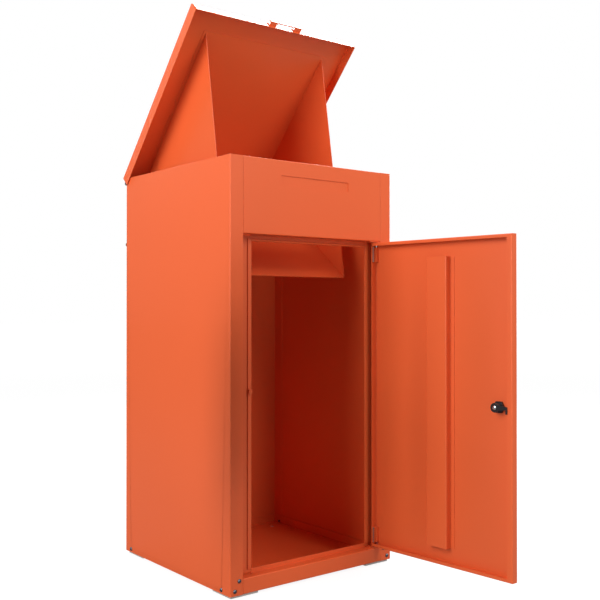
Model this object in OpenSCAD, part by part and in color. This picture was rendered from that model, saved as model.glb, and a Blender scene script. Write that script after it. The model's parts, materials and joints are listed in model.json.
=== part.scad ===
// Parcel drop box: sheet-steel cabinet with a tilting lid and hopper, a lockable door and a letter flap.
// Millimetres. +X right, -Y front, +Z up. The origin is on the ground, centred under the cabinet.

/* [Cabinet] */
// Width of the cabinet over its side panels
body_width = 500; // [400:1:700]
// Depth of the cabinet over its front and back panels
body_depth = 500; // [400:1:700]
// Height of the cabinet without feet and lid
body_height = 1000; // [850:1:1300]
// Thickness of the cabinet sheet
sheet = 1.5; // [1:0.1:2.5]
// Outer radius of a sheet bend
bend_outer = 2.5; // [2:0.1:5]
// Width of the side panel return seen on the front
return_width = 35.5; // [28:0.5:50]
// Gap between a return and the panel beside it
seam_gap = 0.5; // [0.2:0.1:1]
// Height of the front sill
sill_height = 36; // [25:1:60]
// Height of the fascia above the door
fascia_height = 178; // [120:1:250]
// Depth of the inward flange on the top of a wall
rim_flange = 14; // [10:1:20]
// Depth of the flanges under the fascia and on the sill
jamb_flange = 20; // [16:1:20]
// Width of the weld tabs behind the returns
tab_width = 19; // [12:1:25]
// Forward flange of the back panel
back_flange = 38; // [34:1:45]
// Height of the upturned edge of the floor panel
floor_flange = 24; // [20:1:34]
// Depth of the inward edge at the bottom of the sill
sill_hem = 5; // [4:0.5:8]

/* [Feet] */
// Height of a foot plate
foot_height = 6; // [4:1:15]
// Side of a square foot plate
foot_size = 76; // [50:1:100]
// Distance from the cabinet side to a foot plate
foot_inset = 6; // [5:1:30]
// Diameter of an anchor hole
anchor_hole = 11; // [8:0.5:14]

/* [Door frame] */
// Distance from the cabinet front to the door stop
stop_depth = 26.2; // [25:0.1:30]
// Width of the stop strip on the lock side
lock_stop = 29.5; // [26:0.1:31]
// Width of the stop strip on the hinge side
hinge_stop = 11; // [9:0.5:24]
// Width of the raised rim on the lock side
lock_rim_width = 10; // [6:0.5:12]
// Width of the raised rim on the hinge side
hinge_rim_width = 21; // [6:0.5:23]
// Height of the raised rim above the stop strip
rim_rise = 3; // [1:0.1:3.2]
// Depth of the head stop down to its rolled edge
head_drop = 13.5; // [12:0.5:16]
// Radius of the rolled edge on the head stop
roll_radius = 3; // [2:0.1:3]
// Height of the sill stop
sill_rise = 11.5; // [8:0.5:14]

/* [Door] */
// Thickness of the door
door_thickness = 20; // [18:1:22]
// Gap between the door and the opening at the sides
door_gap = 2; // [1.5:0.1:3]
// Gap between the door and the opening at the top and bottom
door_end_gap = 4; // [3.5:0.1:5]
// Angle of the open door
door_open = 94.2; // [0:0.5:105]
// Width of the door lip on the lock side
door_lip = 14; // [8:0.5:15]
// Width of the door lip on the hinge side
door_hinge_lip = 4; // [3:0.5:6]
// Width of the door lips at the top and bottom
door_end_lip = 8; // [5:0.5:9]
// Distance from the door edge to the pivot axis
pivot_inset = 6; // [5:0.5:8]
// Distance from the door front to the pivot axis
pivot_back = 5; // [4:0.5:6]
// Diameter of a pivot pin
pivot_pin = 5; // [4:0.5:5.5]
// Height of a hinge block
block_height = 38; // [25:1:50]
// Distance from the end of the door to a hinge block
block_inset = 11; // [9:1:30]

/* [Door stiffener] */
// Width of the stiffener face
stiffener_face = 61; // [40:1:90]
// Depth of the stiffener
stiffener_depth = 18; // [10:0.5:20]
// Width of a stiffener foot
stiffener_foot = 12; // [8:1:20]
// Height of the stiffener
stiffener_height = 694; // [500:1:720]
// Distance from the bottom of the door to the stiffener
stiffener_start = 40; // [25:1:60]
// Distance from the middle of the door to the stiffener towards the hinge
stiffener_shift = 1.5; // [0:0.5:20]

/* [Lock] */
// Distance from the free edge of the door to the lock axis
lock_inset = 45; // [40:1:60]
// Height of the lock axis above the cabinet bottom
lock_height = 427; // [380:1:480]
// Diameter of the lock barrel
lock_barrel = 19; // [16:0.5:22]
// Diameter of the lock plug
lock_plug_diameter = 12; // [9:0.5:14]
// Diameter of the cam hub
cam_hub = 22; // [18:0.5:23]
// Reach of the cam
cam_reach = 33; // [30:1:38]
// Width of the cam arm at its end
cam_width = 7; // [6:0.5:10]
// Width of the cam hook
hook_width = 4; // [3:0.5:6]
// Reach of the cam hook from the lock axis
hook_reach = 13; // [12:0.5:16]
// Width of the keeper plate that holds the cam
keeper_width = 9; // [6:0.5:9]
// Thickness of the cam
cam_thickness = 2; // [1.5:0.1:2]

/* [Letter slot] */
// Width of the letter slot
slot_width = 210; // [150:1:280]
// Height of the letter slot
slot_height = 23; // [18:1:40]
// Distance from the cabinet top to the top of the slot
slot_drop = 36; // [34:1:60]
// Overlap of the flap behind the edges of the slot
flap_overlap = 6; // [4:0.5:8]
// Depth of the lower lip of the flap
flap_lip = 24; // [15:1:28]
// Diameter of the flap pin
flap_pin_diameter = 3; // [2.5:0.1:4]

/* [Lid] */
// Angle of the open lid
lid_open = 47.3; // [0:0.1:60]
// Overhang of the lid past the cabinet front
lid_overhang = 19; // [5:0.5:30]
// Gap between the lid skirt and the cabinet sides
lid_gap = 2.5; // [1.5:0.1:4]
// Depth of the lid skirt
lid_skirt = 28; // [20:0.5:32]
// Depth of the lid skirt at the back
lid_back_skirt = 10; // [8:0.5:12]
// Distance from the cabinet back to the hinge axis
hinge_offset = 5.5; // [5:0.1:8]
// Distance from the cabinet top down to the hinge axis
hinge_drop = 13; // [11:0.5:18]
// Diameter of the hinge knuckles
knuckle = 8; // [6:0.5:9]
// Length of one lid hinge
hinge_length = 76; // [50:1:100]
// Distance from the cabinet side to a lid hinge
hinge_inset = 4; // [2:1:60]

/* [Hopper] */
// Width of the hopper over its cheeks
hopper_width = 374; // [300:1:400]
// Distance from the cabinet back to the lower edge of the hopper floor
hopper_back = 74; // [60:1:120]
// Distance that the upper edge of the hopper floor lies behind its lower edge
hopper_lean = 40; // [0:1:40]
// Length of the hopper along the lid
hopper_length = 380; // [250:1:400]
// Depth of the hopper below the lid
hopper_depth = 475; // [300:1:500]
// Margin of the mounting plate around the hopper
plate_margin = 7; // [5:1:10]

/* [Handle] */
// Distance from the middle of the lid to the middle of the handle
handle_shift = 16; // [-40:1:40]
// Distance between the middles of the handle legs
handle_span = 78; // [50:1:120]
// Width of a handle leg
handle_leg = 21; // [12:1:30]
// Distance from the lid skirt to the grip
handle_reach = 12; // [8:1:30]
// Thickness of the handle strap
handle_strap = 2.5; // [2:0.1:4]

/* [Hidden] */

$fn = 48;

powder_orange = [0.93, 0.33, 0.14];
powder_dark = [0.8, 0.25, 0.1];
plate_grey = [0.72, 0.72, 0.7];
rubber_black = [0.06, 0.06, 0.06];
screw_steel = [0.3, 0.32, 0.36];
hinge_steel = [0.6, 0.58, 0.55];
lock_black = [0.09, 0.09, 0.1];
chrome_steel = [0.75, 0.75, 0.77];

hair = 0.1;
run = 0.08;
fit = 0.3;
cut = 1;
bend_inner = bend_outer - sheet;
floor_gap = 0.4;
half_width = body_width / 2;
half_depth = body_depth / 2;
base_z = foot_height;
top_z = base_z + body_height;
sill_z = base_z + sill_height;
head_z = top_z - fascia_height;
seam_x = half_width - return_width;
front_y = -half_depth;
back_y = half_depth;
inner_front_y = front_y + sheet;
tab_root = 8;

stop_y = front_y + stop_depth;
rim_y = stop_y - rim_rise;
lock_rim_x = -seam_x + lock_stop;
hinge_rim_x = seam_x - hinge_stop;
cross_low_x = lock_rim_x + lock_rim_width + hair;
cross_high_x = hinge_rim_x - hinge_rim_width - hair;
frame_flange = 22;
frame_end_gap = 2;
frame_low_z = sill_z + frame_end_gap;
frame_high_z = head_z - frame_end_gap;
head_stop_z = head_z + sheet - head_drop;
rim_low_z = sill_z - sheet + sill_rise + 1;
rim_high_z = head_stop_z + roll_radius;

door_edge_x = seam_x - door_gap;
door_low_z = sill_z + door_end_gap;
door_high_z = head_z - door_end_gap;
door_inner_y = front_y + door_thickness;
pivot_x = door_edge_x - pivot_inset;
pivot_y = front_y + pivot_back;
pivot_bore = pivot_pin + 2 * run;
pin_engagement = 22;
pin_point = 1.5;
bracket_plate = 2.5;
bracket_long = 24;
bracket_short = 7;
bracket_inset = 1;
block_low_z = door_low_z + block_inset;
block_high_z = door_high_z - block_inset - block_height;
block_side_x = door_edge_x - bend_outer;
block_neck = 3;
block_body = 8;
block_step_y = door_inner_y - 9;
strip = 2;
strip_width = 5.5;
strip_low_y = door_inner_y - sheet - strip;

lock_x = -door_edge_x + lock_inset;
lock_z = base_z + lock_height;
cam_y = door_inner_y + 0.5;
flange_diameter = 24;
flange_thickness = 2;
nut_across = 26;
nut_thickness = 6;
plug_tail = 8;
key_slot = [1.6, 7];
key_slot_depth = 6;
cam_root = 16;
cam_screw_head = 10;
cam_screw_shank = 4;
cam_screw_length = 8;
keeper_drop = 9;
keeper_room = 0.6;

slot_top_z = top_z - slot_drop;
slot_low_z = slot_top_z - slot_height;
flap_y = inner_front_y + fit;
flap_pin_back = 4.2;
flap_pin_y = flap_y + flap_pin_back;
flap_pin_z = slot_top_z + flap_overlap + 3;
flap_half = slot_width / 2 + flap_overlap;
flap_tube = flap_pin_diameter + 3;
ear_gap = 1;
ear_thickness = 2;
ear_foot = 12;
ear_half = 6;
ear_nose = 4;
flap_pin_end = 1.5;

lid_under_z = top_z + fit;
lid_top_z = lid_under_z + sheet;
lid_half = half_width + lid_gap + sheet;
lid_front_y = front_y - lid_overhang;
lid_back_y = back_y + 0.2 + sheet;
hinge_y = back_y + hinge_offset;
hinge_z = top_z - hinge_drop;
back_top_z = lid_top_z - lid_back_skirt - 1;
knuckle_gap = 0.4;
knuckle_count = 5;
knuckle_pitch = hinge_length / knuckle_count;
hinge_pin = 4;
fixed_leaf = 22;
leaf = 2;
hinge_middle_x = half_width - hinge_inset - hinge_length / 2;
hinge_screw_pitch = 26;
lid_screw_z = lid_top_z - 5.2;
lid_screw_hole = 3.2;
lid_screw_head = 6;
lid_screw_shank = 3;
fixed_screw_z = hinge_z - 14;
fixed_screw_hole = 4.2;
fixed_screw_length = 7;
lid_screw_length = 5;
hinge_head_lip = 2;
hinge_head = 4;
fixed_screw_head = 7.5;
fixed_screw_shank = 3.8;

cheek_x = hopper_width / 2;
plate_low_z = lid_under_z - sheet;
hopper_y = back_y - hopper_back;
hopper_top_y = hopper_y + hopper_lean;
hopper_front_y = hopper_y - hopper_length;
hopper_low_z = plate_low_z - hopper_depth;
hem = 10;
cheek_foot = 4;

rivet_z = lid_top_z - 15;
rivet_head = 7;
rivet_shank = 4;
rivet_hole = 4.2;
grip_height = 9;
tab_height = 14;
grip_low_z = lid_top_z - 22;

buffer_x = half_width - 13;
buffer_z = base_z + 823;
buffer_base = 24;
buffer_tip = 11;
buffer_length = 20;
buffer_seat = 10;
top_flange_gap = 4;
wall_hole = 8;
wall_hole_x = 150;
wall_hole_low = base_z + 300;
wall_hole_high = base_z + 880;

screw_head = 9.5;
screw_shank = 5;
screw_hole = 5.4;
screw_length = 9;
side_screw_front_y = front_y + 35;
side_screw_back_y = back_y - 29;
side_screw_z = base_z + 9;
front_screw_low = [half_width - 13.5, base_z + 11];
front_screw_high = [half_width - 25.5, base_z + 32.5];
foot_x = half_width - foot_inset - foot_size / 2;
foot_y = half_depth - foot_inset - foot_size / 2;

// Quarter of a bend, centred on the origin and lying in the given quadrant
module bend(sx, sy) {
    intersection() {
        difference() {
            circle(r = bend_outer);
            circle(r = bend_inner);
        }
        scale([sx, sy]) square(bend_outer + 1);
    }
}

// Box between two corners
module box(low, high) {
    translate(low) cube(high - low);
}

// Rectangle between two corners, with round corners
module round_rectangle(low, high, radius) {
    across = [radius, 0];
    up = [0, radius];
    translate(low + across) square(high - low - 2 * across);
    translate(low + up) square(high - low - 2 * up);
    for (x = [low[0] + radius, high[0] - radius])
        for (y = [low[1] + radius, high[1] - radius])
            translate([x, y]) circle(r = radius);
}

// Box between two corners, with round bends along its Z and X edges
module folded_box(low, high, radius) {
    intersection() {
        translate([0, 0, low[2]])
            linear_extrude(high[2] - low[2])
                round_rectangle([low[0], low[1]], [high[0], high[1]], radius);
        translate([low[0], 0, 0]) rotate([90, 0, 90])
            linear_extrude(high[0] - low[0])
                round_rectangle([low[1], low[2]], [high[1], high[2]], radius);
    }
}

// Both sides of the cabinet
module both_sides() {
    children();
    mirror([1, 0, 0]) children();
}

// Cylinder along Y, from the given point towards the back
module rod_y(point, diameter, length) {
    translate(point) rotate([-90, 0, 0]) cylinder(d = diameter, h = length);
}

// Cylinder along X, from the given point towards the right
module rod_x(point, diameter, length) {
    translate(point) rotate([0, 90, 0]) cylinder(d = diameter, h = length);
}

// Domed head that stands on the plane
module dome_head(head) {
    rim = 0.1 * head;
    shoulder = 0.12 * head;
    cap = 0.06 * head;
    cylinder(d = head, h = rim);
    translate([0, 0, rim]) cylinder(d1 = head, d2 = 0.82 * head, h = shoulder);
    translate([0, 0, rim + shoulder]) cylinder(d1 = 0.82 * head, d2 = 0.5 * head, h = cap);
}

// Screw along Z with its cross-recess head above the plane and its shank below
module pan_screw(head, shank, length, $fn = 32) {
    half_arm = 0.26 * head;
    half_slot = 0.065 * head;
    recess_z = 0.14 * head;
    difference() {
        dome_head(head);
        box([-half_arm, -half_slot, recess_z], [half_arm, half_slot, head]);
        box([-half_slot, -half_arm, recess_z], [half_slot, half_arm, head]);
    }
    translate([0, 0, -length]) cylinder(d = shank, h = length + hair);
}

// Rivet along Z with its head above the plane and its shank below
module dome_rivet(head, shank, length, $fn = 32) {
    dome_head(head);
    translate([0, 0, -length]) cylinder(d = shank, h = length + hair);
}

// Places the closed door at its open angle
module door_pose() {
    translate([pivot_x, pivot_y, 0])
        rotate([0, 0, door_open])
            translate([-pivot_x, -pivot_y, 0])
                children();
}

// Places the closed lid at its open angle
module lid_pose() {
    translate([0, hinge_y, hinge_z])
        rotate([-lid_open, 0, 0])
            translate([0, -hinge_y, -hinge_z])
                children();
}

// Holes of the low corner screws in one side and its front return
module corner_holes() {
    for (y = [side_screw_front_y, side_screw_back_y])
        rod_x([half_width - 10, y, side_screw_z], screw_hole, 20);
    for (at = [front_screw_low, front_screw_high])
        rod_y([at[0], front_y - 10, at[1]], screw_hole, 20);
}

// Right-hand side panel with its front return and top flange
module side_panel() {
    difference() {
        union() {
            translate([0, 0, base_z])
                linear_extrude(body_height) {
                    translate([half_width - sheet, front_y + bend_outer])
                        square([sheet, body_depth - bend_outer]);
                    translate([seam_x, front_y])
                        square([return_width - bend_outer, sheet]);
                    translate([half_width - bend_outer, front_y + bend_outer])
                        bend(1, -1);
                }
            box([half_width - rim_flange, front_y + bend_outer + 1, top_z - sheet],
                [half_width - sheet / 2, back_y - back_flange, top_z]);
        }
        corner_holes();
    }
}

module left_side_panel() {
    color(powder_orange) mirror([1, 0, 0]) side_panel();
}

module right_side_panel() {
    color(powder_orange) side_panel();
}

module back_panel() {
    half = half_width - sheet - hair;
    color(powder_orange) difference() {
        union() {
            translate([0, 0, base_z])
                linear_extrude(back_top_z - base_z) {
                    translate([-half + bend_outer, back_y - sheet])
                        square([2 * (half - bend_outer), sheet]);
                    for (side = [-1, 1])
                        translate([side * (half - bend_outer), back_y - bend_outer])
                            bend(side, 1);
                    for (side = [-1, 1])
                        translate([side * (half - sheet / 2) - sheet / 2, back_y - back_flange])
                            square([sheet, back_flange - bend_outer]);
                }
            box([-half + top_flange_gap, back_y - rim_flange, back_top_z - sheet],
                [half - top_flange_gap, back_y - sheet / 2, back_top_z]);
        }
        for (x = [-wall_hole_x, wall_hole_x])
            for (z = [wall_hole_low, wall_hole_high])
                rod_y([x, back_y - sheet - cut, z], wall_hole, sheet + 2 * cut);
        for (x = [-buffer_x, buffer_x])
            rod_y([x, back_y - 10, buffer_z], screw_hole, 20);
        both_sides() {
            corner_holes();
            for (step = [-1, 0, 1])
                rod_y([hinge_middle_x + step * hinge_screw_pitch, back_y - 10, fixed_screw_z],
                    fixed_screw_hole, 20);
        }
    }
}

// Front sheet with two inward flanges and a weld tab behind each return
module front_sheet(low, high, low_flange, high_flange) {
    half = seam_x - seam_gap;
    rotate([90, 0, 90]) translate([0, 0, -half])
        linear_extrude(2 * half) {
            translate([front_y, low + bend_outer])
                square([sheet, high - low - 2 * bend_outer]);
            translate([front_y + bend_outer, low + bend_outer]) bend(-1, -1);
            translate([front_y + bend_outer, high - bend_outer]) bend(-1, 1);
            translate([front_y + bend_outer, low])
                square([low_flange - bend_outer, sheet]);
            translate([front_y + bend_outer, high - sheet])
                square([high_flange - bend_outer, sheet]);
        }
    both_sides()
        box([seam_x - tab_root, inner_front_y, low + seam_gap],
            [seam_x + tab_width, inner_front_y + sheet, high - seam_gap]);
}

module front_fascia() {
    color(powder_orange) difference() {
        front_sheet(head_z, top_z, jamb_flange, rim_flange);
        box([-slot_width / 2, front_y - cut, slot_low_z], [slot_width / 2, inner_front_y + cut, slot_top_z]);
        translate([pivot_x, pivot_y, head_z - cut]) cylinder(d = pivot_bore, h = sheet + 2 * cut);
    }
}

module front_sill() {
    color(powder_orange) difference() {
        front_sheet(base_z, sill_z, sill_hem, jamb_flange);
        both_sides() corner_holes();
        translate([pivot_x, pivot_y, sill_z - sheet - cut]) cylinder(d = pivot_bore, h = sheet + 2 * cut);
    }
}

module floor_panel() {
    half = half_width - 2 * sheet - floor_gap;
    front = inner_front_y + sheet + hair;
    back = back_y - sheet - floor_gap;
    low = base_z + sheet;
    high = low + floor_flange;
    color(powder_orange) difference() {
        box([-half, front, low], [half, back, high]);
        box([-half + sheet, front + sheet, low + sheet], [half - sheet, back - sheet, high + cut]);
        both_sides() corner_holes();
        for (x = [-foot_x, foot_x])
            for (y = [-foot_y, foot_y])
                translate([x, y, base_z]) cylinder(d = anchor_hole, h = 3 * sheet);
    }
}

module foot_plates() {
    color(plate_grey)
        for (x = [-foot_x, foot_x])
            for (y = [-foot_y, foot_y])
                difference() {
                    translate([x - foot_size / 2, y - foot_size / 2, 0])
                        cube([foot_size, foot_size, foot_height + sheet]);
                    translate([x, y, -cut]) cylinder(d = anchor_hole, h = foot_height + sheet + 2 * cut);
                }
}

// Right-hand upright of the door frame: weld flange, stop strip and raised rim inside the given line
module frame_upright(rim_outer_x, rim_width) {
    rim_inner_x = rim_outer_x - rim_width;
    wall_x = half_width - sheet;
    translate([0, 0, frame_low_z])
        linear_extrude(frame_high_z - frame_low_z) {
            translate([wall_x - sheet, stop_y + bend_outer])
                square([sheet, frame_flange - bend_outer]);
            translate([wall_x - bend_outer, stop_y + bend_outer]) bend(1, -1);
            translate([rim_outer_x - sheet, stop_y])
                square([wall_x - bend_outer - rim_outer_x + sheet, sheet]);
        }
    translate([0, 0, rim_low_z])
        linear_extrude(rim_high_z - rim_low_z) {
            translate([rim_outer_x - sheet, rim_y])
                square([sheet, rim_rise + sheet]);
            translate([rim_inner_x, rim_y])
                square([rim_width, sheet]);
            translate([rim_inner_x, rim_y])
                square([sheet, rim_rise + sheet]);
        }
    for (span = [[frame_low_z, rim_low_z], [rim_high_z, frame_high_z]])
        box([rim_inner_x, stop_y, span[0]], [rim_outer_x, stop_y + sheet, span[1]]);
}

module frame_right() {
    color(powder_dark) frame_upright(hinge_rim_x, hinge_rim_width);
}

module frame_left() {
    color(powder_dark) mirror([1, 0, 0]) frame_upright(-lock_rim_x, lock_rim_width);
}

// Bracket on the left rim: a top leg and a plate that hangs in front of the turned cam
module lock_keeper() {
    low_x = lock_rim_x + fit;
    face_y = cam_y - keeper_room - sheet;
    leg_z = lock_z + cam_reach + 2 * keeper_room;
    color(powder_dark) {
        box([low_x, face_y, leg_z], [low_x + keeper_width, rim_y, leg_z + sheet]);
        box([low_x, face_y, leg_z - keeper_drop], [low_x + keeper_width, face_y + sheet, leg_z + sheet]);
    }
}

// Cross member of the door frame, drawn for the head and hanging from the given height
module frame_cross(drop) {
    root_y = front_y + jamb_flange;
    translate([cross_low_x, 0, 0]) rotate([90, 0, 90])
        linear_extrude(cross_high_x - cross_low_x) {
            translate([root_y, -sheet])
                square([stop_y + sheet - root_y, sheet]);
            translate([stop_y, -drop])
                square([sheet, drop]);
        }
}

module frame_top() {
    color(powder_dark) {
        translate([0, 0, head_z + sheet]) frame_cross(head_drop);
        rod_x([cross_low_x, stop_y, head_stop_z], 2 * roll_radius, cross_high_x - cross_low_x);
    }
}

module frame_bottom() {
    color(powder_dark) translate([0, 0, sill_z - sheet]) mirror([0, 0, 1]) frame_cross(sill_rise);
}

module corner_screws() {
    color(screw_steel) both_sides() {
        for (y = [side_screw_front_y, side_screw_back_y])
            translate([half_width, y, side_screw_z]) rotate([0, 90, 0])
                pan_screw(screw_head, screw_shank, screw_length);
        for (at = [front_screw_low, front_screw_high])
            translate([at[0], front_y, at[1]]) rotate([90, 0, 0])
                pan_screw(screw_head, screw_shank, screw_length);
    }
}

module wall_buffers() {
    color(rubber_black) both_sides()
        difference() {
            translate([buffer_x, back_y, buffer_z]) rotate([-90, 0, 0])
                cylinder(d1 = buffer_base, d2 = buffer_tip, h = buffer_length);
            rod_y([buffer_x, back_y - cut, buffer_z], screw_shank + 2 * hair, buffer_length + 2 * cut);
            rod_y([buffer_x, back_y + buffer_seat, buffer_z], screw_head + 1, buffer_length);
        }
}

module buffer_screws() {
    color(screw_steel) both_sides()
        translate([buffer_x, back_y + buffer_seat, buffer_z]) rotate([-90, 0, 0])
            pan_screw(screw_head, screw_shank, buffer_seat + screw_length - 3);
}

// Ear that carries one end of the flap pin
module flap_ear() {
    low = [flap_half + ear_gap, inner_front_y, flap_pin_z - ear_half];
    difference() {
        union() {
            box(low, [low[0] + ear_thickness, flap_pin_y + ear_nose, flap_pin_z + ear_half]);
            box(low, [low[0] + ear_foot, inner_front_y + ear_thickness, flap_pin_z + ear_half]);
        }
        rod_x([low[0] - cut, flap_pin_y, flap_pin_z], flap_pin_diameter, ear_thickness + 2 * cut);
    }
}

module flap_brackets() {
    color(hinge_steel) both_sides() flap_ear();
}

module flap_pin() {
    reach = flap_half + ear_gap + ear_thickness + flap_pin_end;
    color(chrome_steel) rod_x([-reach, flap_pin_y, flap_pin_z], flap_pin_diameter, 2 * reach);
}

module letter_flap() {
    flap_low_z = slot_low_z - flap_overlap;
    flap_high_z = slot_top_z + flap_overlap;
    color(powder_orange) difference() {
        union() {
            rotate([90, 0, 90]) translate([0, 0, -flap_half])
                linear_extrude(2 * flap_half) {
                    translate([flap_y, flap_low_z])
                        square([sheet, flap_high_z - flap_low_z]);
                    translate([flap_y, flap_low_z])
                        square([flap_lip, sheet]);
                    translate([flap_y, flap_high_z - sheet])
                        square([flap_pin_y - flap_y, sheet]);
                    translate([flap_pin_y - sheet / 2, flap_high_z - sheet])
                        square([sheet, flap_pin_z - flap_high_z]);
                }
            rod_x([-flap_half, flap_pin_y, flap_pin_z], flap_tube, 2 * flap_half);
        }
        rod_x([-flap_half - cut, flap_pin_y, flap_pin_z], flap_pin_diameter + 2 * run, 2 * (flap_half + cut));
    }
}

// Pivot bracket drawn for the head, hanging below the given height
module pivot_bracket() {
    difference() {
        box([pivot_x - bracket_long, inner_front_y, -bracket_plate],
            [pivot_x + bracket_short, front_y + jamb_flange - bracket_inset, 0]);
        translate([pivot_x, pivot_y, -bracket_plate - cut])
            cylinder(d = pivot_pin, h = bracket_plate + 2 * cut);
    }
}

module upper_pivot_bracket() {
    color(powder_dark) translate([0, 0, head_z]) pivot_bracket();
}

module lower_pivot_bracket() {
    color(powder_dark) translate([0, 0, sill_z]) mirror([0, 0, 1]) pivot_bracket();
}

// Pivot pin drawn pointing down, with a pointed end
module pivot_stud() {
    reach = block_inset + door_end_gap + pin_engagement;
    translate([0, 0, -reach]) cylinder(d = pivot_pin, h = reach + sheet);
    translate([0, 0, -reach - pin_point])
        cylinder(d1 = pivot_pin - 2 * pin_point, d2 = pivot_pin, h = pin_point);
}

module upper_pivot_pin() {
    color(chrome_steel) translate([pivot_x, pivot_y, head_z]) pivot_stud();
}

module lower_pivot_pin() {
    color(chrome_steel) translate([pivot_x, pivot_y, sill_z]) mirror([0, 0, 1]) pivot_stud();
}

module door_panel() {
    low = [-door_edge_x, front_y, door_low_z];
    high = [door_edge_x, door_inner_y, door_high_z];
    wall = [sheet, sheet, sheet];
    color(powder_orange) door_pose()
        difference() {
            folded_box(low, high, bend_outer);
            folded_box(low + wall, high - wall, bend_inner);
            box([low[0] + door_lip, front_y + sheet, door_low_z + door_end_lip],
                [high[0] - door_hinge_lip, door_inner_y + cut, door_high_z - door_end_lip]);
            for (z = [door_low_z, door_high_z])
                translate([pivot_x, pivot_y, z - 2 * sheet]) cylinder(d = pivot_pin + 1, h = 4 * sheet);
            rod_y([lock_x, front_y - cut, lock_z], lock_barrel + 2 * hair, sheet + 2 * cut);
        }
}

module door_stiffener() {
    face = stiffener_face / 2;
    root_y = front_y + sheet;
    face_y = root_y + stiffener_depth;
    color(powder_orange) door_pose()
        translate([stiffener_shift, 0, door_low_z + stiffener_start])
            linear_extrude(stiffener_height) {
                translate([-face + bend_outer, face_y - sheet])
                    square([2 * (face - bend_outer), sheet]);
                for (side = [-1, 1]) {
                    translate([side * (face - bend_outer), face_y - bend_outer]) bend(side, 1);
                    translate([side * (face - sheet / 2) - sheet / 2, root_y])
                        square([sheet, stiffener_depth - bend_outer]);
                    translate([side * (face - sheet / 2 + stiffener_foot / 2) - stiffener_foot / 2, root_y])
                        square([stiffener_foot, sheet]);
                }
            }
}

// Hinge block inside the door pan that turns on a pivot pin
module hinge_block(low) {
    high = low + block_height;
    color(powder_orange) door_pose()
        difference() {
            union() {
                box([block_side_x - block_body, inner_front_y, low], [block_side_x, block_step_y, high]);
                box([block_side_x - block_neck, inner_front_y, low], [block_side_x, strip_low_y, high]);
            }
            translate([pivot_x, pivot_y, low - cut]) cylinder(d = pivot_bore, h = block_height + 2 * cut);
        }
}

module upper_hinge_block() {
    hinge_block(block_high_z);
}

module lower_hinge_block() {
    hinge_block(block_low_z);
}

// Steel strip that is held between a hinge block and the door lip
module hinge_strip(low) {
    high = low + block_height;
    color(hinge_steel) door_pose()
        box([block_side_x - strip_width, strip_low_y, low], [block_side_x, strip_low_y + strip, high]);
}

module upper_hinge_strip() {
    hinge_strip(block_high_z);
}

module lower_hinge_strip() {
    hinge_strip(block_low_z);
}

module lock_housing() {
    back = cam_y - 1;
    color(lock_black) door_pose()
        difference() {
            union() {
                rod_y([lock_x, front_y - flange_thickness, lock_z], flange_diameter, flange_thickness);
                rod_y([lock_x, front_y - hair, lock_z], lock_barrel, back - front_y + hair);
            }
            rod_y([lock_x, front_y - flange_thickness - cut, lock_z], lock_plug_diameter + 2 * run,
                back - front_y + flange_thickness + 2 * cut);
        }
}

module lock_nut() {
    color(lock_black) door_pose()
        difference() {
            translate([lock_x, front_y + sheet, lock_z]) rotate([-90, 0, 0])
                cylinder(d = nut_across / cos(30), h = nut_thickness, $fn = 6);
            rod_y([lock_x, front_y, lock_z], lock_barrel, sheet + nut_thickness + cut);
        }
}

module lock_plug() {
    color(chrome_steel) door_pose()
        difference() {
            union() {
                rod_y([lock_x, front_y - flange_thickness, lock_z], lock_plug_diameter,
                    cam_y - front_y + flange_thickness);
                rod_y([lock_x, cam_y - hair, lock_z], plug_tail, cam_thickness + hair);
            }
            box([lock_x - key_slot[0] / 2, front_y - flange_thickness - cut, lock_z - key_slot[1] / 2],
                [lock_x + key_slot[0] / 2, front_y + key_slot_depth, lock_z + key_slot[1] / 2]);
            rod_y([lock_x, cam_y + cam_thickness - cam_screw_length, lock_z], cam_screw_shank,
                cam_screw_length + cut);
        }
}

module lock_cam() {
    half_root = cam_root / 2;
    half = cam_width / 2;
    color(lock_black) door_pose()
        difference() {
            union() {
                rod_y([lock_x, cam_y, lock_z], cam_hub, cam_thickness);
                translate([lock_x, cam_y + cam_thickness, lock_z]) rotate([90, 0, 0])
                    linear_extrude(cam_thickness)
                        polygon([
                            [0, half_root],
                            [-cam_reach, half],
                            [-cam_reach, -hook_reach],
                            [-cam_reach + hook_width, -hook_reach],
                            [-cam_reach + hook_width, -half],
                            [0, -half_root]
                        ]);
            }
            rod_y([lock_x, cam_y - cut, lock_z], plug_tail, cam_thickness + 2 * cut);
        }
}

module cam_screw() {
    color(chrome_steel) door_pose()
        translate([lock_x, cam_y + cam_thickness, lock_z]) rotate([-90, 0, 0])
            pan_screw(cam_screw_head, cam_screw_shank, cam_screw_length);
}

// Knuckles with an even or odd place along one hinge
module knuckles(first) {
    for (place = [first : 2 : knuckle_count - 1])
        rod_x([hinge_middle_x - hinge_length / 2 + place * knuckle_pitch + knuckle_gap / 2, hinge_y, hinge_z],
            knuckle, knuckle_pitch - knuckle_gap);
}

// Clearance around the knuckles of the other leaf
module knuckle_room(first) {
    for (place = [first : 2 : knuckle_count - 1])
        rod_x([hinge_middle_x - hinge_length / 2 + place * knuckle_pitch - knuckle_gap / 2, hinge_y, hinge_z],
            knuckle + 1, knuckle_pitch + knuckle_gap);
}

// Bore for the hinge pin with the given clearance all round
module hinge_bore(clearance) {
    rod_x([hinge_middle_x - hinge_length, hinge_y, hinge_z], hinge_pin + 2 * clearance, 2 * hinge_length);
}

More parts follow.
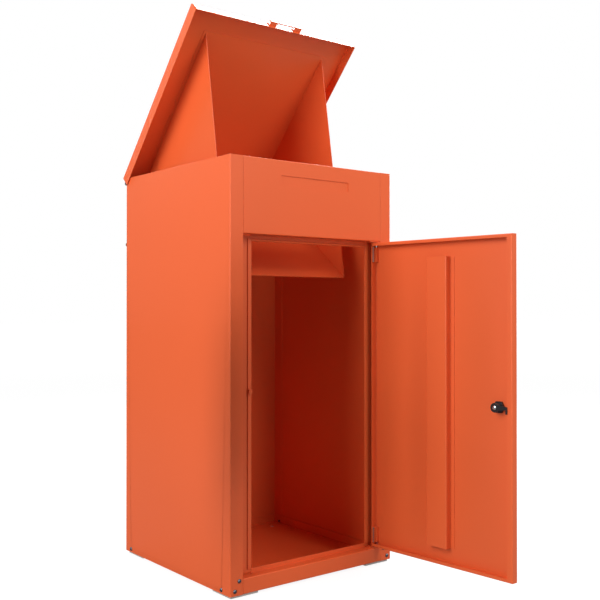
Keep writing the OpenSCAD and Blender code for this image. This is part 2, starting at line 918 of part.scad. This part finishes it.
module lid_hinge_fixed_leaves() {
    low_x = hinge_middle_x - hinge_length / 2;
    color(hinge_steel) both_sides()
        difference() {
            union() {
                difference() {
                    box([low_x, back_y, hinge_z - fixed_leaf],
                        [low_x + hinge_length, back_y + leaf, hinge_z]);
                    knuckle_room(1);
                }
                knuckles(0);
            }
            hinge_bore(0);
            for (step = [-1, 0, 1])
                rod_y([hinge_middle_x + step * hinge_screw_pitch, back_y - cut, fixed_screw_z],
                    fixed_screw_hole, leaf + 2 * cut);
        }
}

module lid_hinge_moving_leaves() {
    low_x = hinge_middle_x - hinge_length / 2;
    color(hinge_steel) lid_pose() both_sides()
        difference() {
            union() {
                difference() {
                    box([low_x, lid_back_y, hinge_z + knuckle_gap],
                        [low_x + hinge_length, lid_back_y + leaf, lid_top_z]);
                    knuckle_room(0);
                }
                knuckles(1);
            }
            hinge_bore(run);
            for (step = [-1, 0, 1])
                rod_y([hinge_middle_x + step * hinge_screw_pitch, back_y - cut, lid_screw_z],
                    lid_screw_hole, 10);
        }
}

module lid_hinge_pins() {
    low_x = hinge_middle_x - hinge_length / 2;
    color(rubber_black) both_sides() {
        rod_x([low_x - 1, hinge_y, hinge_z], hinge_pin, hinge_length + 2);
        rod_x([low_x + hinge_length, hinge_y, hinge_z], knuckle + hinge_head_lip, hinge_head);
    }
}

module lid_hinge_fixed_screws() {
    color(screw_steel) both_sides()
        for (step = [-1, 0, 1])
            translate([hinge_middle_x + step * hinge_screw_pitch, back_y + leaf, fixed_screw_z])
                rotate([-90, 0, 0]) pan_screw(fixed_screw_head, fixed_screw_shank, fixed_screw_length);
}

module lid_hinge_lid_screws() {
    color(rubber_black) lid_pose() both_sides()
        for (step = [-1, 0, 1])
            translate([hinge_middle_x + step * hinge_screw_pitch, lid_back_y + leaf, lid_screw_z])
                rotate([-90, 0, 0]) pan_screw(lid_screw_head, lid_screw_shank, lid_screw_length);
}

module lid_panel() {
    low = [-lid_half, lid_front_y, lid_top_z - 2 * lid_skirt];
    high = [lid_half, lid_back_y, lid_top_z];
    wall = [sheet, sheet, sheet];
    skirt_z = lid_top_z - lid_skirt;
    color(powder_orange) lid_pose()
        difference() {
            folded_box(low, high, bend_outer);
            folded_box(low + wall, high - wall, bend_inner);
            box(low - wall, [high[0] + cut, high[1] + cut, skirt_z]);
            box([low[0] + sheet, high[1] - 2 * sheet, skirt_z - cut],
                [high[0] - sheet, high[1] + cut, lid_top_z - lid_back_skirt]);
            both_sides()
                for (step = [-1, 0, 1])
                    rod_y([hinge_middle_x + step * hinge_screw_pitch, back_y - 5, lid_screw_z],
                        lid_screw_hole, 10);
            for (side = [-1, 1])
                rod_y([handle_shift + side * handle_span / 2, lid_front_y - cut, rivet_z],
                    rivet_hole, sheet + 2 * cut);
        }
}

module hopper_mount_plate() {
    color(powder_orange) lid_pose()
        box([-cheek_x - plate_margin, hopper_front_y - plate_margin, plate_low_z],
            [cheek_x + plate_margin, hopper_top_y + plate_margin, lid_under_z]);
}

// Right-hand hopper cheek, a triangle hanging from the mounting plate
module hopper_cheek() {
    translate([cheek_x - sheet, 0, 0])
        rotate([90, 0, 90])
            linear_extrude(sheet)
                polygon([
                    [hopper_front_y, plate_low_z],
                    [hopper_top_y, plate_low_z],
                    [hopper_y, hopper_low_z],
                    [hopper_y - cheek_foot, hopper_low_z]
                ]);
}

module hopper_left_cheek() {
    color(powder_orange) lid_pose() mirror([1, 0, 0]) hopper_cheek();
}

module hopper_right_cheek() {
    color(powder_orange) lid_pose() hopper_cheek();
}

// Slanted floor with its lower edge folded back behind it
module hopper_floor() {
    half = cheek_x - sheet;
    hem_y = hopper_y + hopper_lean * hem / hopper_depth;
    color(powder_orange) lid_pose()
        translate([-half, 0, 0]) rotate([90, 0, 90])
            linear_extrude(2 * half)
                polygon([
                    [hopper_y - sheet, hopper_low_z],
                    [hopper_y + sheet, hopper_low_z],
                    [hem_y + sheet, hopper_low_z + hem],
                    [hem_y, hopper_low_z + hem],
                    [hopper_top_y, plate_low_z],
                    [hopper_top_y - sheet, plate_low_z]
                ]);
}

module lid_handle() {
    face_y = lid_front_y;
    grip_y = face_y - handle_reach;
    half_leg = handle_leg / 2;
    half = handle_span / 2 + half_leg;
    color(powder_orange) lid_pose() {
        box([handle_shift - half, grip_y, grip_low_z],
            [handle_shift + half, grip_y + handle_strap, grip_low_z + grip_height]);
        for (side = [-1, 1])
            translate([handle_shift + side * handle_span / 2, 0, 0]) {
                box([-half_leg, grip_y, grip_low_z], [half_leg, face_y, grip_low_z + handle_strap]);
                difference() {
                    box([-half_leg, face_y - handle_strap, grip_low_z],
                        [half_leg, face_y, grip_low_z + tab_height]);
                    rod_y([0, face_y - handle_strap - cut, rivet_z], rivet_hole, handle_strap + 2 * cut);
                }
            }
    }
}

module handle_rivets() {
    color(powder_orange) lid_pose()
        for (side = [-1, 1])
            translate([handle_shift + side * handle_span / 2, lid_front_y - handle_strap, rivet_z])
                rotate([90, 0, 0]) dome_rivet(rivet_head, rivet_shank, handle_strap + sheet + 1);
}

left_side_panel();
right_side_panel();
back_panel();
front_fascia();
front_sill();
floor_panel();
foot_plates();
frame_left();
frame_right();
frame_top();
frame_bottom();
lock_keeper();
corner_screws();
wall_buffers();
buffer_screws();
flap_brackets();
flap_pin();
letter_flap();
upper_pivot_bracket();
lower_pivot_bracket();
upper_pivot_pin();
lower_pivot_pin();
door_panel();
door_stiffener();
upper_hinge_block();
lower_hinge_block();
upper_hinge_strip();
lower_hinge_strip();
lock_housing();
lock_nut();
lock_plug();
lock_cam();
cam_screw();
lid_hinge_fixed_leaves();
lid_hinge_moving_leaves();
lid_hinge_pins();
lid_hinge_fixed_screws();
lid_hinge_lid_screws();
lid_panel();
hopper_mount_plate();
hopper_left_cheek();
hopper_right_cheek();
hopper_floor();
lid_handle();
handle_rivets();
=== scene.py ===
import json
import math
import bpy
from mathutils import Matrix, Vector


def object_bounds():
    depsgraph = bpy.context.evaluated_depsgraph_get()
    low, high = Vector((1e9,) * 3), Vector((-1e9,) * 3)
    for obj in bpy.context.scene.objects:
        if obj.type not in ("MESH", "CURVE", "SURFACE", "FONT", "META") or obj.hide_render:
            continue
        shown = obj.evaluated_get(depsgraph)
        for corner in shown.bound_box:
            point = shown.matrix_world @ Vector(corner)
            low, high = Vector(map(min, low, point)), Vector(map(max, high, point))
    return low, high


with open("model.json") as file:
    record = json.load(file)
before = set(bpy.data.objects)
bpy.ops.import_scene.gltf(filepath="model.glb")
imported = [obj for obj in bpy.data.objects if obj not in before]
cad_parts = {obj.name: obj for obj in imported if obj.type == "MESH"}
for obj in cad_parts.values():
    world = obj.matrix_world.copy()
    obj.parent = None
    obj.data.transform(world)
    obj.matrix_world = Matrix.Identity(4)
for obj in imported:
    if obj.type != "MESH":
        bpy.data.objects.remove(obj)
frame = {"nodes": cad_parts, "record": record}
cad_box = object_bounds()

# Camera: where it stands, its heading right of +Y, its tilt above level, and its lens
CAMERA_PLACE = (-1.3643, -1.9121, 0.6616)
CAMERA_HEADING = 38.3495
CAMERA_TILT = 0.401
CAMERA_LENS = 53.13
SENSOR_WIDTH = 36.0


def make_camera():
    """Camera at the height of a person's waist, in front of the left corner."""
    data = bpy.data.cameras.new("camera")
    data.lens = CAMERA_LENS
    data.sensor_width = SENSOR_WIDTH
    camera = bpy.data.objects.new("camera", data)
    camera.location = CAMERA_PLACE
    camera.rotation_euler = (math.radians(90 + CAMERA_TILT), 0, math.radians(-CAMERA_HEADING))
    bpy.context.scene.collection.objects.link(camera)
    bpy.context.scene.camera = camera


# Materials --------------------------------------------------------------------------------------

class Nodes:
    """A material's node tree, with short calls for the nodes used here."""

    def __init__(self, name):
        self.material = bpy.data.materials.new(name)
        self.material.use_nodes = True
        self.tree = self.material.node_tree
        self.shader = next(n for n in self.tree.nodes if n.type == "BSDF_PRINCIPLED")
        coordinates = self.tree.nodes.new("ShaderNodeTexCoord")
        self.place = coordinates.outputs["Object"]

    def add(self, kind, **settings):
        node = self.tree.nodes.new(kind)
        for key, value in settings.items():
            setattr(node, key, value)
        return node

    def link(self, output, socket):
        self.tree.links.new(output, socket)

    def stretched(self, scale):
        """The object's own coordinates, scaled along each axis."""
        node = self.add("ShaderNodeMapping")
        node.inputs["Scale"].default_value = scale
        self.link(self.place, node.inputs["Vector"])
        return node.outputs["Vector"]

    def noise(self, scale, detail=2.0, roughness=0.5, vector=None):
        node = self.add("ShaderNodeTexNoise")
        node.inputs["Scale"].default_value = scale
        node.inputs["Detail"].default_value = detail
        node.inputs["Roughness"].default_value = roughness
        self.link(vector or self.place, node.inputs["Vector"])
        return node.outputs["Fac"]

    def ranged(self, value, low, high, start=0.0, end=1.0):
        """Maps a value between start and end to low to high."""
        node = self.add("ShaderNodeMapRange")
        node.inputs["From Min"].default_value = start
        node.inputs["From Max"].default_value = end
        node.inputs["To Min"].default_value = low
        node.inputs["To Max"].default_value = high
        self.link(value, node.inputs["Value"])
        return node.outputs["Result"]

    def blend(self, value, dark, light):
        """Mixes two colours by a 0 to 1 value."""
        node = self.add("ShaderNodeMix", data_type="RGBA")
        node.inputs["A"].default_value = (*dark, 1)
        node.inputs["B"].default_value = (*light, 1)
        self.link(value, node.inputs["Factor"])
        return node.outputs["Result"]

    def bump(self, height, strength, distance, under=None):
        node = self.add("ShaderNodeBump")
        node.inputs["Strength"].default_value = strength
        node.inputs["Distance"].default_value = distance
        self.link(height, node.inputs["Height"])
        if under:
            self.link(under, node.inputs["Normal"])
        return node.outputs["Normal"]

    def set(self, **values):
        for key, value in values.items():
            self.shader.inputs[key.replace("_", " ")].default_value = value

    def feed(self, **outputs):
        for key, output in outputs.items():
            self.link(output, self.shader.inputs[key.replace("_", " ")])


def shade(colour, factor):
    return tuple(min(1.0, c * factor) for c in colour)


def powder_coat(name, colour):
    """Semi-gloss powder coat: an even colour with slight drift, and the fine waviness called orange peel."""
    nodes = Nodes(name)
    drift = nodes.noise(scale=2.2, detail=3.0)
    grain = nodes.noise(scale=420.0, detail=2.0)
    peel = nodes.noise(scale=330.0, detail=1.0)
    nodes.feed(
        Base_Color=nodes.blend(drift, shade(colour, 0.955), shade(colour, 1.045)),
        Roughness=nodes.ranged(grain, low=0.36, high=0.46),
        Normal=nodes.bump(peel, strength=0.10, distance=0.0003),
    )
    nodes.set(Coat_Weight=0.12, Coat_Roughness=0.12, IOR=1.5, Specular_IOR_Level=0.35)
    return nodes.material


def plated_steel(name, colour, roughness, brushed=(1, 1, 1), grain=160.0, metallic=1.0):
    """Bare or plated steel. The grain can be stretched into brushing. Dull plating is partly metallic."""
    nodes = Nodes(name)
    lines = nodes.noise(scale=grain, detail=3.0, vector=nodes.stretched(brushed))
    tarnish = nodes.noise(scale=35.0, detail=3.0)
    nodes.feed(
        Base_Color=nodes.blend(tarnish, shade(colour, 0.86), shade(colour, 1.1)),
        Roughness=nodes.ranged(lines, roughness - 0.08, roughness + 0.1),
        Normal=nodes.bump(lines, strength=0.12, distance=0.0002),
    )
    nodes.set(Metallic=metallic)
    return nodes.material


def moulded(name, colour, roughness, grain=900.0):
    """Rubber, plastic or black-coated metal with a fine moulded grain."""
    nodes = Nodes(name)
    fine = nodes.noise(scale=grain, detail=2.0)
    nodes.feed(
        Base_Color=nodes.blend(fine, shade(colour, 0.8), shade(colour, 1.25)),
        Roughness=nodes.ranged(fine, roughness - 0.05, roughness + 0.08),
        Normal=nodes.bump(fine, strength=0.15, distance=0.0002),
    )
    return nodes.material


ORANGE = (0.80, 0.125, 0.032)
FINISHES = {
    "cabinet_paint": powder_coat("cabinet_paint", ORANGE),
    # frame_paint is the cabinet orange darkened by 5 %. This is painted shade for the frame, which stands in
    # shade inside the door opening.
    "frame_paint": powder_coat("frame_paint", shade(ORANGE, 0.95)),
    "door_paint": powder_coat("door_paint", ORANGE),
    "lid_paint": powder_coat("lid_paint", ORANGE),
    # hopper_paint is the cabinet orange darkened by 3 %. This is painted shade for the hopper, which lies in
    # shade under the open lid.
    "hopper_paint": powder_coat("hopper_paint", shade(ORANGE, 0.97)),
    "foot_plate": plated_steel("foot_plate", (0.72, 0.72, 0.68), 0.5, grain=120.0, metallic=0.4),
    "screw": plated_steel("screw", (0.17, 0.19, 0.23), 0.35),
    "buffer_rubber": moulded("buffer_rubber", (0.02, 0.02, 0.02), 0.7),
    "black_hardware": moulded("black_hardware", (0.022, 0.022, 0.024), 0.4),
    "hinge_steel": plated_steel("hinge_steel", (0.5, 0.47, 0.43), 0.38, brushed=(1, 1, 0.06)),
    "pin_steel": plated_steel("pin_steel", (0.62, 0.62, 0.63), 0.25, brushed=(1, 1, 0.1)),
    "lock_black": moulded("lock_black", (0.016, 0.016, 0.018), 0.22, grain=500.0),
    "lock_chrome": plated_steel("lock_chrome", (0.78, 0.79, 0.81), 0.12),
}


# CAD nodes --------------------------------------------------------------------------------------

WELD_DISTANCE = 0.00001
EDGE = 0.0004
SHARP_ANGLE = 35


def dress(node, slot):
    """Gives a CAD node its material and breaks its sharp edges."""
    thing = frame["nodes"][node]
    thing.data.materials.clear()
    thing.data.materials.append(FINISHES[slot])
    weld = thing.modifiers.new("weld", "WELD")
    weld.merge_threshold = WELD_DISTANCE
    bevel = thing.modifiers.new("bevel", "BEVEL")
    bevel.width = EDGE
    bevel.segments = 2
    bevel.limit_method = "ANGLE"
    bevel.angle_limit = math.radians(SHARP_ANGLE)
    bevel.face_strength_mode = "FSTR_AFFECTED"
    even = thing.modifiers.new("even", "WEIGHTED_NORMAL")
    even.weight = 100
    even.keep_sharp = True
    even.use_face_influence = True


for row in frame["record"]["subparts"]:
    dress(row["node"], row["material_slot"])


# Stage ------------------------------------------------------------------------------------------

# Strengths of the surroundings and of the floor's glow: for diffuse bounces and for reflections
WORLD_BOUNCED = 0.12
WORLD_MIRRORED = 0.35
FLOOR_BOUNCED = 0.25
FLOOR_MIRRORED = 0.05

# Floor: its side, and the ring around the object within which it turns from grey to plain white
FLOOR_SIZE = 60.0
RING_INNER = 1.0
RING_OUTER = 9.0
RING_GLOW = 0.90

# Softboxes: azimuth (0 in front, 90 on the right), elevation, distance, side and power
LIGHTS = (
    ("left", -85, 30, 3.5, 1.8, 72),
    ("left_low", -85, 8, 3.5, 1.8, 44),
    ("front", 15, 38, 3.5, 1.8, 73),
    ("front_low", 5, 2, 3.5, 1.8, 18),
    ("rim", 124, 54, 3.56, 1.0, 66),
    ("right", 95, 12, 3.5, 1.8, 90),
    ("back", 180, 30, 3.5, 1.8, 60),
)

# Upright flags beside the lower left front corner: two opposite corners, and how much light each one stops
FLAGS = (
    ("front_flag", (-0.27, -0.48, 0.30), (-0.125, -0.48, 0.80), 0.95),
    ("left_flag", (-0.50, -0.42, 0.27), (-0.50, -0.235, 0.72), 0.6),
)


def seen_or_bounced(tree, bounced, mirrored, seen):
    """A strength that differs for diffuse bounces, for reflections and for the camera."""
    path = tree.nodes.new("ShaderNodeLightPath")
    level = bounced
    for ray, value in (("Is Glossy Ray", mirrored), ("Is Camera Ray", seen)):
        pick = tree.nodes.new("ShaderNodeMix")
        if isinstance(level, float):
            pick.inputs["A"].default_value = level
        else:
            tree.links.new(level, pick.inputs["A"])
        if isinstance(value, float):
            pick.inputs["B"].default_value = value
        else:
            tree.links.new(value, pick.inputs["B"])
        tree.links.new(path.outputs[ray], pick.inputs["Factor"])
        level = pick.outputs["Result"]
    return level


def make_floor():
    """Plain pale floor, level with the bottom of the foot plates."""
    half = FLOOR_SIZE / 2
    mesh = bpy.data.meshes.new("floor")
    corners = [(-half, -half, 0), (half, -half, 0), (half, half, 0), (-half, half, 0)]
    mesh.from_pydata(corners, [], [(0, 1, 2, 3)])
    floor = bpy.data.objects.new("floor", mesh)
    bpy.context.scene.collection.objects.link(floor)
    nodes = Nodes("floor")
    nodes.feed(Base_Color=nodes.blend(nodes.noise(scale=1.5), (0.15, 0.15, 0.15), (0.17, 0.17, 0.17)))
    nodes.set(Roughness=0.9, Emission_Color=(1, 1, 1, 1), Specular_IOR_Level=0.0)
    reach = nodes.add("ShaderNodeVectorMath", operation="LENGTH")
    nodes.link(nodes.place, reach.inputs[0])
    seen = nodes.ranged(reach.outputs["Value"], low=RING_GLOW, high=1.0, start=RING_INNER, end=RING_OUTER)
    nodes.feed(Emission_Strength=seen_or_bounced(nodes.tree, FLOOR_BOUNCED, FLOOR_MIRRORED, seen))
    mesh.materials.append(nodes.material)


def make_world():
    """Even white surroundings: plain white to the camera, and dimmer as a light."""
    world = bpy.data.worlds.new("studio")
    bpy.context.scene.world = world
    world.use_nodes = True
    tree = world.node_tree
    background = next(n for n in tree.nodes if n.type == "BACKGROUND")
    background.inputs["Color"].default_value = (1, 1, 1, 1)
    tree.links.new(seen_or_bounced(tree, WORLD_BOUNCED, WORLD_MIRRORED, 1.0), background.inputs["Strength"])


def make_light(name, azimuth, elevation, distance, size, power):
    """Square softbox that points at the middle of the object."""
    centre = (cad_box[0] + cad_box[1]) / 2
    turn, lift = math.radians(azimuth), math.radians(elevation)
    back = Vector((math.sin(turn) * math.cos(lift), -math.cos(turn) * math.cos(lift), math.sin(lift)))
    data = bpy.data.lights.new(name, "AREA")
    data.shape = "SQUARE"
    data.size = size
    data.energy = power
    light = bpy.data.objects.new(name, data)
    light.location = centre + back * distance
    light.rotation_mode = "QUATERNION"
    light.rotation_quaternion = (-back).to_track_quat("-Z", "Y")
    bpy.context.scene.collection.objects.link(light)


def make_flag(name, low, high, dark):
    """Upright studio flag between two opposite corners, which shades the cabinet and isn't seen itself."""
    mesh = bpy.data.meshes.new(name)
    corners = [low, (high[0], high[1], low[2]), high, (low[0], low[1], high[2])]
    mesh.from_pydata(corners, [], [(0, 1, 2, 3)])
    flag = bpy.data.objects.new(name, mesh)
    bpy.context.scene.collection.objects.link(flag)
    nodes = Nodes(name)
    nodes.set(Base_Color=(0.0, 0.0, 0.0, 1), Alpha=dark, Roughness=1.0, Specular_IOR_Level=0.0)
    mesh.materials.append(nodes.material)
    flag.visible_camera = False
    flag.visible_glossy = False


scene = bpy.context.scene
scene.view_settings.view_transform = "Standard"
make_camera()
make_floor()
make_world()
for light in LIGHTS:
    make_light(*light)
for flag in FLAGS:
    make_flag(*flag)
